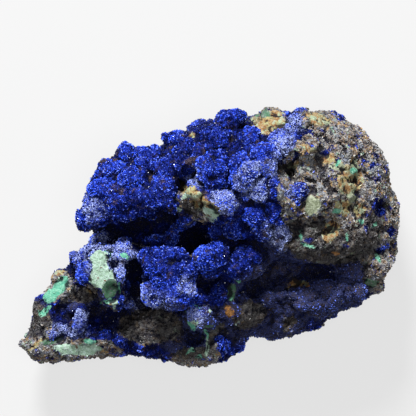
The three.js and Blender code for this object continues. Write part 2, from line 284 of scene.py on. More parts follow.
# Pits and cracks in the display side: x, y, half width, half height, turn, depth.
chosenPits = [
    (26.6, 25.8, 3.6, 2, -10, 3.2), (35.5, 21, 4.4, 0.8, -20, 1.6), (52.7, 21, 2, 1.6, 20, 2),
    (-7, 10.4, 2.2, 2, 0, 2.2), (11.7, 4.1, 1.6, 1.6, 0, 3), (2.3, 23.8, 0.9, 0.9, 0, 1.6),
    (-20, 23.5, 1, 2.4, -20, 2.4), (-38.8, -5.3, 0.8, 0.9, 0, 1.2), (-34.6, -7, 0.7, 1.6, 20, 1),
    (-46.6, -20.4, 1.8, 2.4, -30, 2), (-25.2, -14.4, 2.2, 1.5, 0, 6), (-25.6, -3.4, 2.6, 2.6, 0, 6),
    (-36.2, -29.4, 3.4, 3.8, 0, 4), (-35.1, -18.9, 2, 2.4, 0, 1), (-6, -37.7, 1.8, 3.4, 10, 3),
    (61.7, 10.9, 1.6, 2.2, 0, 2.6), (61.7, 2.3, 1.6, 2, 0, 2.2), (-26.5, 18.6, 1.3, 0.8, 0, 1.4),
    (-36.5, 21, 0.9, 0.8, 0, 1.2), (-32, 15.2, 0.8, 1, 30, 1.2), (-18, 14.6, 0.8, 0.8, 0, 1.2),
    (30, -0.6, 3.6, 1, 20, 1.8), (44, 18, 1.6, 3.6, 30, 2.2), (48, 33, 2.6, 1, -35, 1.6),
    (26, 11.4, 2.2, 0.9, -40, 1.8), (20, -26, 3, 1.2, 30, 2), (44, -19, 5, 0.9, 12, 1.8),
    (30, -22, 4, 0.9, -14, 1.6), (12.7, 35.4, 1.4, 1, 0, 1.8), (-1.5, 15, 1.4, 1, 0, 1.6),
]

# Small islands of azurite on the broken rock: x, y, half width, half height and, for some, turn.
azuriteIslands = [
    (61.6, 11, 2.2, 3.4, 10), (65, 2.6, 1.6, 3), (62.6, -3.4, 2.4, 1.6), (42.6, 31, 1.4, 0.8),
    (33, 16.4, 4.4, 3.4), (59.8, 25.8, 0.9, 1.2), (50, -2.4, 1.2, 0.8), (31, 29, 1.6, 0.8, 30),
    (36.4, -1, 1.6, 0.9), (57.4, 4, 1, 1.2), (-45.6, -27.6, 3, 3.2), (6.6, -38.2, 3, 4.4, 20),
]

# Where each mineral shows on the display side: x, y, half width, half height and, for some, turn in degrees.
mineralPatches = {
    # deep: darker blue, partly the crust's own tone and partly painted shade in valleys and low places
    "deep": [
        (-3, 34, 10, 6, 20), (-10, 29, 5, 8, -30), (-28, 8.4, 16, 3.4, 6), (-29, 12, 14, 4, 5),
        (11.7, -9.2, 7, 7), (-13, -7, 8, 5), (18, -2, 10, 6), (8, -19, 9, 6), (5, 38, 8, 4, 20),
        (-13, 12, 4, 6), (-8, 23, 4, 5), (30, -14, 26, 9, 5), (-30, -30, 22, 5, -10),
    ],
    "rock": [
        (45, 16, 20, 24), (50, 31, 14, 12), (46, -3.1, 18, 6.4), (62, 8, 12, 24), (58, 26, 6, 8, 30),
        (62, -14, 6, 6), (30, -31, 3, 2, 25), (-64.5, -33, 8, 11), (-50, -41.5, 20, 5.2, 2),
        (-44.1, -20.6, 5, 3.4, 20), (-20.7, -31.7, 12, 6.6), (-4.9, -43.7, 9, 4.4), (15.3, -27.8, 6, 5, 20),
        (-53.5, -17, 6, 7, 40), (22, 43, 7, 5), (40, 43, 7, 4), (-4.6, 11.6, 8, 4.4, -38),
        (-16.5, -31, 7, 4), (4, -37, 5, 6),
    ],
    # dull: dark blue-grey crust and rock, partly its own dull tone and partly painted shade, as on the lower
    # right ledge
    "dullAndShaded": [
        (44, -1.5, 19, 6.5, -6), (34, -18, 27, 13, 8), (-19, -31, 15, 7), (-5, 11, 5, 3), (-17, -31, 9, 5),
        (48, -3, 16, 6), (-63, -29, 6, 7), (60, 3, 3.5, 7), (24, -30, 14, 8, 10), (8, -31, 12, 8),
        (-43, -23, 8, 5), (-6, -36, 12, 8), (30, -4, 12, 6),
    ],
    "fissure": [
        (-20, 23, 1.1, 3.4, -20), (-26, 18.8, 2, 0.9, 10), (-32.5, 17, 1.6, 0.8, -20), (-18.6, 35.4, 2, 2),
        (-6.4, 27.6, 3, 1.1, 20), (-1.8, 31.6, 0.5, 3.4, 4), (-25, 25.6, 1.4, 0.6, 40),
        (27, 25.6, 3.2, 1.7, -10), (-1.4, 15.6, 2.4, 1.4), (-14, 10.6, 2, 0.8, 20), (6, 40.4, 3.6, 0.9, 10),
        (14, 31, 1.6, 0.7, -30),
    ],
    "powder": [
        (-38, -4.4, 8.4, 5.4, -20), (-29.3, -5.7, 4.6, 3.9, -20), (-32.2, -13.2, 2.2, 6),
        (-50.6, -33.4, 8, 2.6, -5), (6.3, 12.7, 5.4, 4.4, 20), (32.4, 16.2, 6.4, 4.8),
        (32.2, 41.4, 4.6, 2.6), (18.8, 17, 3, 3), (-20.7, -22.6, 8, 3.4), (-44, -6, 4, 5), (-8, -17, 4, 3),
        (-42.5, 11.4, 3, 5, 10), (26, 30, 4, 8, -20), (28, -1, 8, 4, -30), (-45.6, -28.6, 2, 2),
        (-3.4, -27.6, 2.2, 3), (-36, -8, 9, 8), (-0.2, -40.9, 0.9, 6, 6), (17, 20, 5.6, 6),
        (-4, 22, 2.6, 4),
    ],
    "ochre": [
        (21.8, 42.6, 6, 4.2), (39.8, 43.3, 5, 2, -12), (-3.4, 13.8, 8.8, 2.8, -42),
        (43.4, 28.9, 2.8, 1.8, 20), (52, 21.2, 4.6, 5.4), (49.5, 11, 3.2, 3, 40), (44.5, 2.3, 3, 3.6),
        (-53, -11.6, 2.2, 1.6, 30), (3, 11.2, 2.6, 1.1, -30), (-4.2, 16.4, 2.6, 1.6, -30),
        (-1, 12.4, 2.4, 1.4, -45), (-41.4, -18.8, 1.7, 1), (-61, -38.4, 5, 1, 38), (-6.6, -26, 0.8, 1.4),
        (-2, -24.6, 0.6, 1, 20), (30.5, 26, 2.4, 1.4, 30), (36, 33, 3.4, 1.4, -40), (55, 10, 2, 2.6),
        (-38, -5.6, 1.4, 1), (33, -16, 4, 1.4), (-6.7, 37.8, 2, 0.9, 30), (-12.4, 21.4, 1, 0.5, 30),
    ],
    "oliveGreen": [
        (38, 11.4, 2.9, 3.8), (46.6, 25.6, 3, 1.6, -10), (42.7, 41.9, 2.2, 0.9, -20), (53, 26, 1.8, 3.2),
        (52.4, 14.6, 1.6, 2.4, 30),
    ],
    "paleGreen": [
        (-38.8, -8.6, 3.4, 5.4, 8), (-38, -14.2, 4.8, 4.4), (-7.6, 15.6, 2.2, 1.6, 30),
        (0.8, 8.8, 3.8, 1.8, -32), (-47, -40, 9, 1.8), (-10.6, 9.2, 1, 2.2), (-0.6, -38.8, 0.8, 4.8, 4),
        (-34, -23.6, 2.4, 1.4), (-4.4, -29.4, 1.2, 0.8, 20), (-0.6, -26.4, 0.9, 1.2),
    ],
    "darkGreen": [
        (19, 45.6, 4, 1.6), (-6.6, -27.6, 0.8, 1.6, 10), (0.2, -31, 1.2, 1), (-35.1, -18.4, 3, 3.1),
        (59.4, -16.2, 2.4, 2), (-56, -37, 4, 1.4, 20), (8.4, -19, 2.2, 3.4, 20),
    ],
    "malachite": [
        (-54.6, -18.4, 6.6, 2.4, 44), (-58.9, -26, 2.8, 1.6, 40), (-35.2, -4.6, 1, 2, 20),
        (-31.3, -18, 0.8, 2.6), (-36, -22.9, 2.8, 0.9, 18), (-36.4, -4, 1.3, 0.8),
        (-29.6, -6.2, 1.5, 1, -30), (33.8, 0.8, 0.45, 2.3, 4), (36.2, -2.8, 2.4, 0.5, -22),
        (46.6, 9.5, 1.4, 0.9, 30), (50.9, 1.2, 0.45, 2, 8), (61.6, -7.4, 0.7, 2.6, 6),
        (-42, -37.4, 2.4, 0.9), (-3.4, -25, 0.7, 1.8, 10), (-5.4, -30.6, 0.7, 1.6, -10),
        (-6.5, -41, 1.6, 0.7, 20), (-3, -43.4, 1.4, 0.6), (10.3, -15.4, 1.4, 0.7),
        (8.1, -21.5, 1.6, 0.6, 20), (60.7, 4.8, 1, 0.7), (47, 27, 1.6, 0.8, 40), (55.4, 6, 1.2, 0.7),
        (52.5, 24.5, 1, 1.6), (-1, -35, 0.8, 2.4, 10),
    ],
    "amber": [(7.4, -26.4, 1.2, 1.6, 10), (46.6, -6, 1.5, 1.2), (35.4, -17.6, 0.8, 0.6)],
}

bareMinerals = ("rock", "ochre", "oliveGreen", "paleGreen", "darkGreen", "malachite", "amber")


def asSeen(place):
    # where each point appears from the camera, on the level that the tables are drawn on
    middle = np.array(stageSettings["lookAt"])
    rise = stageSettings["cameraRise"]
    nearer = rise / (rise - (place[:, 2] - stageSettings["focusHeight"]))
    return (place[:, :2] - middle) * nearer[:, None] + middle


def unit(values):
    # keeps values between 0 and 1
    return np.clip(values, 0.0, 1.0)


def smoothed(share):
    # eases a share between 0 and 1 at both ends
    return share * share * (3.0 - 2.0 * share)


def fractal(place, size, octaves, shift=(0.0, 0.0, 0.0)):
    # one smooth random number for each point, with finer variation on it
    offset = Vector(shift)
    return np.array([noise.fractal(Vector(p) / size + offset, 1.0, 2.0, octaves) for p in place])


def wander(points, size, reach, seed):
    # a smooth random shift of each point, in the same units as size
    shift = Vector((seed * 7.31, seed * 3.77, seed * 5.13))
    found = [noise.noise_vector(Vector(p) / size + shift) for p in points]
    return np.array([tuple(v) for v in found]) * reach


def readAll(items, name, columns, kind=np.float32):
    flat = np.empty(len(items) * columns, kind)
    items.foreach_get(name, flat)
    return flat.reshape(-1, columns)


def pointsOf(mesh):
    return readAll(mesh.vertices, "co", 3).astype(float)


def normalsOf(mesh):
    return readAll(mesh.vertices, "normal", 3).astype(float)


def movePoints(mesh, points):
    mesh.vertices.foreach_set("co", points.astype(np.float32).ravel())
    mesh.update()


def edgesOf(mesh):
    # both ends of each edge, and how many edges meet at each point
    ends = readAll(mesh.edges, "vertices", 2, np.int32)
    count = np.maximum(np.bincount(ends.ravel(), minlength=len(mesh.vertices)), 1)
    return ends[:, 0], ends[:, 1], count


def facesOf(mesh):
    # the corners and the normal of each face
    corners = readAll(mesh.loops, "vertex_index", 1, np.int32)
    return corners.reshape(-1, 4), readAll(mesh.polygons, "normal", 3)


def surfaceOf(mesh):
    return BVHTree.FromPolygons([v.co for v in mesh.vertices], [p.vertices for p in mesh.polygons])


def closedCopy(source):
    rough = bpy.data.meshes.new("roughRock")
    shell = bmesh.new()
    shell.from_mesh(source.data)
    bmesh.ops.remove_doubles(shell, verts=shell.verts, dist=micron)
    shell.to_mesh(rough)
    shell.free()
    rough.materials.clear()
    return rough


def bakedMesh(draft):
    # the plain mesh that an object's modifiers make, after which the object goes
    bpy.context.view_layer.update()
    mesh = bpy.data.meshes.new_from_object(draft.evaluated_get(bpy.context.evaluated_depsgraph_get()))
    bpy.data.objects.remove(draft)
    return mesh


def largestPart(loose):
    # leaves out the stray closed bits that remeshing makes
    points = pointsOf(loose)
    quads = facesOf(loose)[0]
    part = np.arange(len(points))
    settled = False
    while not settled:
        lowest = part.copy()
        np.minimum.at(lowest, quads, part[quads].min(axis=1)[:, None])
        lowest = lowest[lowest]
        settled = bool((lowest == part).all())
        part = lowest
    kept = part == np.bincount(part).argmax()
    rank = np.cumsum(kept) - 1
    mesh = bpy.data.meshes.new("rock")
    mesh.from_pydata(points[kept].tolist(), [], rank[quads[kept[quads[:, 0]]]].tolist())
    bpy.data.meshes.remove(loose)
    return mesh


def finelyMeshed(rough, settings):
    draft = bpy.data.objects.new("draftRock", rough)
    scene.collection.objects.link(draft)
    remesh = draft.modifiers.new("fine", "REMESH")
    remesh.mode = "VOXEL"
    remesh.voxel_size = settings["voxel"] * millimetre
    smooth = draft.modifiers.new("even", "SMOOTH")
    smooth.factor = settings["smoothFactor"]
    smooth.iterations = settings["smoothRounds"]
    return largestPart(bakedMesh(draft))


def evened(mesh, columns, rounds):
    # spreads each column of values along the edges
    a, b, count = edgesOf(mesh)
    size = len(mesh.vertices)
    columns = list(columns)
    for _ in range(rounds):
        for i, column in enumerate(columns):
            total = np.bincount(a, column[b], size) + np.bincount(b, column[a], size)
            columns[i] = total / count
    return np.array(columns)


def hollowness(mesh, rounds):
    # how far each point lies below the surface round it, in millimetres, and less than nothing on a bump
    points = pointsOf(mesh)
    eased = evened(mesh, points.T, rounds).T
    return np.einsum("ij,ij->i", eased - points, normalsOf(mesh)) / millimetre


def relax(mesh, settings, rounds):
    # draws spikes and stretched webs back to the surface round them
    longest = settings["longestEdge"]
    points = pointsOf(mesh)
    a, b, count = edgesOf(mesh)
    for _ in range(rounds):
        stretch = np.linalg.norm(points[a] - points[b], axis=1) / millimetre
        most = np.zeros(len(points))
        np.maximum.at(most, a, stretch)
        np.maximum.at(most, b, stretch)
        middle = np.zeros_like(points)
        np.add.at(middle, a, points[b])
        np.add.at(middle, b, points[a])
        pull = np.clip((most - longest) / longest, 0.0, settings["strongestPull"])[:, None]
        points += (middle / count[:, None] - points) * pull
    movePoints(mesh, points)


def turnedTo(seen, patch):
    # where each place lies in a turned patch, as shares of its half width and half height
    x, y, across, along, *turn = patch
    angle = math.radians(sum(turn))
    dx, dy = seen[:, 0] - x, seen[:, 1] - y
    u = (dx * math.cos(angle) + dy * math.sin(angle)) / across
    v = (-dx * math.sin(angle) + dy * math.cos(angle)) / along
    return u, v


def patchDepth(seen, rows):
    # how far inside the nearest patch each place lies, in millimetres, and less than nothing outside
    best = np.full(len(seen), -50.0)
    for patch in rows:
        u, v = turnedTo(seen, patch)
        best = np.maximum(best, (1.0 - np.hypot(u, v)) * min(patch[2:4]) * rockSettings["patchSlope"])
    return best


def mineralShares(points, normals, settings):
    # how surely each mineral shows at each point, from 0 to 1, with 0.5 at the edge of a patch
    place = points / millimetre
    seen = asSeen(place)
    seen = seen + (wander(place, 5.0, 1.3, 1) + wander(place, 1.7, 0.6, 2))[:, :2]
    raised = unit((place[:, 2] - settings["displayFrom"]) / settings["displayRise"])
    facing = unit((normals[:, 2] + 0.15) / 0.35) * raised
    shares = {}
    for mineral, rows in mineralPatches.items():
        softness = settings["deepEdge"] if mineral == "deep" else settings["patchEdge"]
        shares[mineral] = unit(0.5 + patchDepth(seen, rows) / softness) * facing
    # the walls and the back are mostly rock, with some crust, stains and green
    wide = fractal(place, 17.0, 4)
    broad = fractal(place, 11.0, 4, (9.0, 4.0, 2.0))
    hidden = 1.0 - facing
    rocky = 0.58 + 0.4 * unit((place[:, 0] - 15.0) / 30.0)
    shares["rock"] += hidden * unit(rocky + wide * 1.3)
    shares["dullAndShaded"] += hidden * 0.8
    shares["ochre"] += hidden * unit(0.05 + broad * 1.1)
    shares["paleGreen"] += hidden * unit(0.0 - broad * 1.0)
    # small islands of azurite are left on the broken rock
    island = unit(0.5 + patchDepth(seen, azuriteIslands) / settings["patchEdge"]) * raised
    for mineral in ("rock", "ochre", "dullAndShaded"):
        shares[mineral] *= 1.0 - unit(island * 1.4 - 0.2)
    return shares


def pushOut(mesh, balls, settings):
    # the surface inside each ball, (middle, radius), moves out to it; the furthest ball wins
    points, normals = pointsOf(mesh), normalsOf(mesh)
    tree = kdtree.KDTree(len(points))
    for i, p in enumerate(points):
        tree.insert(p, i)
    tree.balance()
    reach = np.zeros(len(points))
    moved = points.copy()
    uneven = wander(points / millimetre, settings["ballWanderSize"], 1.0, 8)[:, 0] * settings["ballWander"]
    for middle, radius in balls:
        for place, i, distance in tree.find_range(middle, radius * settings["ballReach"]):
            grown = radius * (1.0 + uneven[i])
            away = place - middle
            # a wall that faces the middle of the ball stays where it is
            if grown - distance > reach[i] and away.dot(normals[i]) > settings["leastOutward"] * distance:
                reach[i] = grown - distance
                moved[i] = middle + away * (grown / distance)
    movePoints(mesh, moved)


def chosenBalls(mesh, settings):
    surface = surfaceOf(mesh)
    balls = []
    eye = scene.camera.location
    for x, y, radius, *raised in chosenLumps:
        aim = (Vector((x, y, stageSettings["focusHeight"])) * millimetre - eye).normalized()
        hit, normal, _, _ = surface.ray_cast(eye, aim)
        if hit:
            size = radius * millimetre
            lean = (normal + Vector((0.0, 0.0, settings["chosenLean"]))).normalized()
            balls.append((hit - lean * size * settings["chosenSunk"], size, -aim * sum(raised) * millimetre))
    return balls


def raiseLumps(mesh, balls, settings):
    # a raised lump grows in small steps, so that the surface always stays ahead of its middle
    while balls:
        pushOut(mesh, [(middle, size) for middle, size, _ in balls], settings)
        moving = []
        for middle, size, rise in balls:
            stride = min(rise.length, size * settings["raiseStride"])
            if stride > micron:
                shift = rise.normalized() * stride
                moving.append((middle + shift, size, rise - shift))
        balls = moving


def scatteredBalls(mesh, share, settings):
    # balls on azurite only, spread evenly by leaving out places too near to others
    points, normals = pointsOf(mesh), normalsOf(mesh)
    rng = np.random.default_rng(settings["seed"])
    order = rng.permutation(len(points))
    order = order[share[order] > 0.5][: settings["count"] * 5]
    kept = []
    taken = set()
    gap = settings["radius"][0] * settings["spacing"] * millimetre
    for i in order:
        key = tuple((points[i] // gap).astype(int))
        if key in taken:
            continue
        taken.add(key)
        radius = rng.uniform(*settings["radius"]) * millimetre
        kept.append((Vector(points[i] - normals[i] * radius * settings["sunk"]), radius))
        if len(kept) == settings["count"]:
            break
    return kept


def breakRock(mesh, share, settings):
    # broken relief where the rock is bare: ridges, tilted blocks and grit
    points, normals = pointsOf(mesh), normalsOf(mesh)
    lift = np.zeros(len(points))
    middleX, middleY = settings["layerMiddle"]
    for i in np.nonzero(share > 0.05)[0]:
        p = Vector(points[i]) / millimetre
        bent = p
        for size, reach in settings["rockBends"]:
            bent = bent + noise.noise_vector(p / size) * reach
        rise = noise.ridged_multi_fractal(bent / settings["cragSize"], *settings["cragFractal"]) - 1.1
        rise *= settings["cragHeight"]
        for size, height in settings["blockSizes"]:
            place = bent / size
            seed = noise.voronoi(place)[1][0]
            tilt = noise.noise_vector(seed * 9.7) * settings["blockTilt"]
            rise += (tilt.dot(place - seed) + tilt.x * 0.5) * height
        rise += (noise.turbulence(p / settings["gritSize"], 3, True) - 0.6) * settings["gritHeight"]
        # thin layers that run round one place near the middle of the specimen
        dx, dy = bent.x - middleX, bent.y - middleY
        around = math.atan2(dy, dx) * settings["layerWaves"]
        layer = noise.noise(Vector((math.hypot(dx, dy) / settings["layerSize"], around, p.z / 5.0)))
        rise += (0.45 - abs(layer) * 2.0) * settings["layerHeight"]
        lift[i] = rise * share[i]
    flat = unit(points[:, 2] / (settings["flatBack"] * millimetre))
    movePoints(mesh, points + normals * (lift * flat * millimetre)[:, None])


def fillGaps(mesh, settings):
    # lifts the floor of each gap, most in its middle
    points = pointsOf(mesh)
    seen = asSeen(points / millimetre)
    lift = np.zeros(len(points))
    high = points[:, 2] > settings["gapsAbove"] * millimetre
    for *patch, height in shallowGaps:
        apart = np.hypot(*turnedTo(seen, patch))
        near = apart < settings["gapReach"]
        ceiling = np.percentile(points[near & high, 2], settings["gapCeilingPercent"]) / millimetre
        inner = smoothed(unit((settings["gapReach"] - apart) / settings["gapSoftness"]))
        room = unit((ceiling - points[:, 2] / millimetre) / height)
        lift = np.maximum(lift, inner * room * height * high)
    points[:, 2] += lift * millimetre
    eased = evened(mesh, points.T, settings["gapEasing"]).T
    near = unit(evened(mesh, [lift], settings["gapSpread"])[0])[:, None]
    movePoints(mesh, points * (1.0 - near) + eased * near)


def flattenFaces(mesh, settings):
    # draws the surface towards one tilted plane inside each broken face
    points, normals = pointsOf(mesh), normalsOf(mesh)
    place = points / millimetre
    seen = asSeen(place) + wander(place, 3.0, 0.7, 6)[:, :2]
    calm = np.zeros(len(points))
    for *patch, right, upwards in brokenFaces:
        u, v = turnedTo(seen, patch)
        apart = (np.abs(u) ** 3.0 + np.abs(v) ** 3.0) ** (1.0 / 3.0)
        inside = (apart < 1.0) & (normals[:, 2] > 0.1)
        if inside.sum() < settings["fewestFacePoints"]:
            continue
        tilted = place[:, 2] - (seen[:, 0] - patch[0]) * right - (seen[:, 1] - patch[1]) * upwards
        level = np.percentile(tilted[inside], settings["faceLevelPercent"])
        close = np.abs(tilted - level) < settings["faceThickness"]
        pull = unit((settings["faceReach"] - apart) / settings["faceSoftness"])
        pull = pull * settings["facePull"] * close
        place[:, 2] += (level - tilted) * pull
        calm = np.maximum(calm, pull)
    points[:, 2] = place[:, 2] * millimetre
    movePoints(mesh, points)
    return calm


def drawIn(mesh, inward, settings):
    # draws the surface in along its normals, and less so where a thin knob or edge would fold over
    points, normals = pointsOf(mesh), normalsOf(mesh)
    corners, before = facesOf(mesh)
    for _ in range(settings["foldTries"]):
        movePoints(mesh, points - normals * inward[:, None])
        folded = (before * facesOf(mesh)[1]).sum(axis=1) < settings["foldedBelow"]
        marked = np.zeros(len(points))
        marked[corners[folded]] = 1.0
        spared = evened(mesh, [marked], settings["foldSpread"])[0] * settings["foldEasing"]
        inward = inward * (1.0 - unit(spared))
    movePoints(mesh, points - normals * inward[:, None])


def digPits(mesh, settings):
    # sinks the surface straight back, deepest in the middle of each pit
    points = pointsOf(mesh)
    place = points / millimetre
    seen = asSeen(place) + wander(place, 3.0, 1.0, 5)[:, :2]
    up = normalsOf(mesh)[:, 2] > -0.2
    softness = settings["pitSoftness"]
    for *patch, depth in chosenPits:
        apart = np.hypot(*turnedTo(seen, patch))
        deep = smoothed(np.clip(settings["pitReach"] - apart, 0.0, softness) / softness)
        points[:, 2] -= deep * depth * millimetre * (up & (place[:, 2] > depth + settings["pitFloor"]))
    movePoints(mesh, points)


def closedIn(mesh, settings):
    # how much of the view outwards is shut off by the specimen itself, from 0 to 1
    surface = surfaceOf(mesh)
    upward = Vector((0.0, 0.0, 1.0))
    rays = []
    for i in range(settings["openRays"]):
        outward = (i + 0.5) / settings["openRays"]
        angle = i * goldenAngle
        flat = math.sqrt(outward)
        rays.append(Vector((flat * math.cos(angle), flat * math.sin(angle), math.sqrt(1.0 - outward))))
    reach = settings["openReach"] * millimetre
    shut = np.zeros(len(mesh.vertices))
    for i, (point, normal) in enumerate(zip(pointsOf(mesh), normalsOf(mesh))):
        normal = Vector(normal)
        turn = upward.rotation_difference(normal).to_matrix()
        start = Vector(point) + normal * settings["rayStart"] * millimetre
        hits = 0
        for ray in rays:
            if surface.ray_cast(start, turn @ ray, reach)[0] is not None:
                hits += 1
        shut[i] = hits / len(rays)
    return shut


def shapeRock(mesh, crusted, bare, settings):
    # works lumps, beads, broken faces, pits and broken rock into the remeshed solid
    balls = chosenBalls(mesh, settings)
    # small bare spots are drawn in with the crust round them
    inward = np.clip(evened(mesh, [crusted], settings["bareSpotRounds"])[0], settings["leastDrawnIn"], 1.0)
    inward *= unit(pointsOf(mesh)[:, 2] / (settings["backRise"] * millimetre))
    inward *= settings["drawnIn"] * millimetre
    drawIn(mesh, inward, settings)
    digPits(mesh, settings)
    raiseLumps(mesh, balls, settings)
    for kind in ("lumps", "beads"):
        pushOut(mesh, scatteredBalls(mesh, crusted, settings[kind]), settings)
    relax(mesh, settings, settings["relaxRounds"])
    calm = flattenFaces(mesh, settings)
    relax(mesh, settings, settings["lastRelaxRounds"])
    breakRock(mesh, bare * (1.0 - settings["faceCalm"] * calm), settings)
    points = pointsOf(mesh)
    highest = cadBox[1][2] + settings["aboveSolid"] * millimetre
    points[:, 2] = np.clip(points[:, 2], 0.0, highest)
    movePoints(mesh, points)


def storeShares(mesh, shares, crusted, settings):
    # what the materials and the crystals read from the rock
    stored = {name: hollowness(mesh, rounds) for name, rounds in settings["pitRounds"].items()}
    stored.update(shares)
    shut = evened(mesh, [closedIn(mesh, settings)], 1)[0]
    place = pointsOf(mesh) / millimetre
    height = place[:, 2]
    raised = unit((height - 1.5) / 1.5) * np.clip((height + 12.0) / 30.0, 0.4, 1.0)
    exposed = unit((0.95 - shut) / 0.2) * raised
    spots = (fractal(place, settings["baldSize"], 3) - settings["baldFrom"]) / 0.1
    bald = unit(np.maximum(spots, (shares["fissure"] - 0.4) / 0.2))
    solid = np.maximum.reduce([shares[m] for m in bareMinerals[1:]])
    stored.update({
        "shut": shut,
        "bald": bald,
        "crust": crusted * exposed * (1.0 - 0.85 * bald),
        "gritty": shares["rock"] * exposed * (1.0 - solid),
    })
    for name, values in stored.items():
        layer = mesh.attributes.new(name, "FLOAT", "POINT")
        layer.data.foreach_set("value", values.astype(np.float32))


def makeRock(settings):
    mesh = finelyMeshed(closedCopy(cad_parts["azurite_specimen"]), settings)
    fillGaps(mesh, settings)
    shares = mineralShares(pointsOf(mesh), normalsOf(mesh), settings)
    bare = np.maximum.reduce([shares[m] for m in bareMinerals])
    crusted = 1.0 - bare
    shapeRock(mesh, crusted, bare, settings)
    storeShares(mesh, shares, crusted, settings)
    for face in mesh.polygons:
        face.use_smooth = True
    rock = bpy.data.objects.new("azuriteRock", mesh)
    scene.collection.objects.link(rock)
    return rock


rock = makeRock(rockSettings)
print("rock ready:", 2 * len(rock.data.polygons), "triangles")


# Materials

colours = {
    "azuriteDeep": (0.0014, 0.0028, 0.03),
    "azurite": (0.003, 0.009, 0.12),
    "azuriteBright": (0.024, 0.066, 0.55),
    # painted sheen: the pale blue of highlights
    "azuritePaintedSheen": (0.19, 0.28, 0.88),
    "azuritePale": (0.25, 0.3, 0.54),
    "azuriteDull": (0.024, 0.03, 0.085),
    # painted shade: the dark blue of creases and hollows
    "paintedShadeBlue": (0.003, 0.005, 0.034),
    "rockDark": (0.018, 0.016, 0.017),
    # near black, for painted shade in creases and hollows, and for bare spots and fissures
    "crease": (0.004, 0.004, 0.008),
    "rockGrey": (0.092, 0.096, 0.103),
    "rockBrown": (0.1, 0.062, 0.036),
    "rockPale": (0.235, 0.235, 0.225),
    "rockBlue": (0.1, 0.125, 0.19),
    "ochre": (0.2, 0.13, 0.058),
    "ochrePale": (0.19, 0.175, 0.085),
    "rust": (0.12, 0.06, 0.024),
    "paleGreen": (0.18, 0.27, 0.2),
    "paleGreenLight": (0.28, 0.37, 0.33),
    "oliveGreen": (0.13, 0.15, 0.095),
    "oliveGreenLight": (0.22, 0.245, 0.175),
    "malachite": (0.045, 0.2, 0.135),
    "malachiteLight": (0.12, 0.275, 0.2),
    "darkGreen": (0.035, 0.085, 0.05),
    "amber": (0.27, 0.125, 0.036),
}

# How large the patterns in the materials are, in metres.
patternSizes = {
    "fine": 0.0011, "grain": 0.0004, "gloss": 0.0007, "broad": 0.006, "specks": 0.0022,
    "greenSpecks": 0.003, "blueSpecks": 0.0035, "threads": 0.0017, "drift": 0.0024, "clump": 0.0011,
    "shade": 0.008, "dust": 0.0019,
}

# How strongly each effect covers the colour under it, from 0 to 1, and how glossy rock and grit are.
effects = {
    "dullAndShaded": 0.85, "bald": 0.9, "threads": 0.8, "blueRock": 0.5, "wornEdges": 0.3, "rockPaintedShade": 0.92,
    "gritPaintedShade": 0.9, "paintedSheen": 0.5, "powder": 0.85, "crease": 0.88, "rockGloss": 0.05,
    "gritGloss": 0.4,
}


def share(w, name):
    # what the rock stores under a name
    return w.add("ShaderNodeAttribute", attribute_name=name).outputs["Fac"]


def newMaterial(name):
    material = bpy.data.materials.new(name)
    material.use_nodes = True
    w = Wiring(material.node_tree)
    return material, w, w.add("ShaderNodeTexCoord").outputs["Object"]


def finishMaterial(w, colour, rough, gloss, **others):
    shader = w.add("ShaderNodeBsdfPrincipled", {"Base Color": colour, "Roughness": rough, **others})
    shader.inputs["Specular IOR Level"].default_value = gloss
    output = w.add("ShaderNodeOutputMaterial")
    w.feed(output.inputs["Surface"], shader.outputs[0])


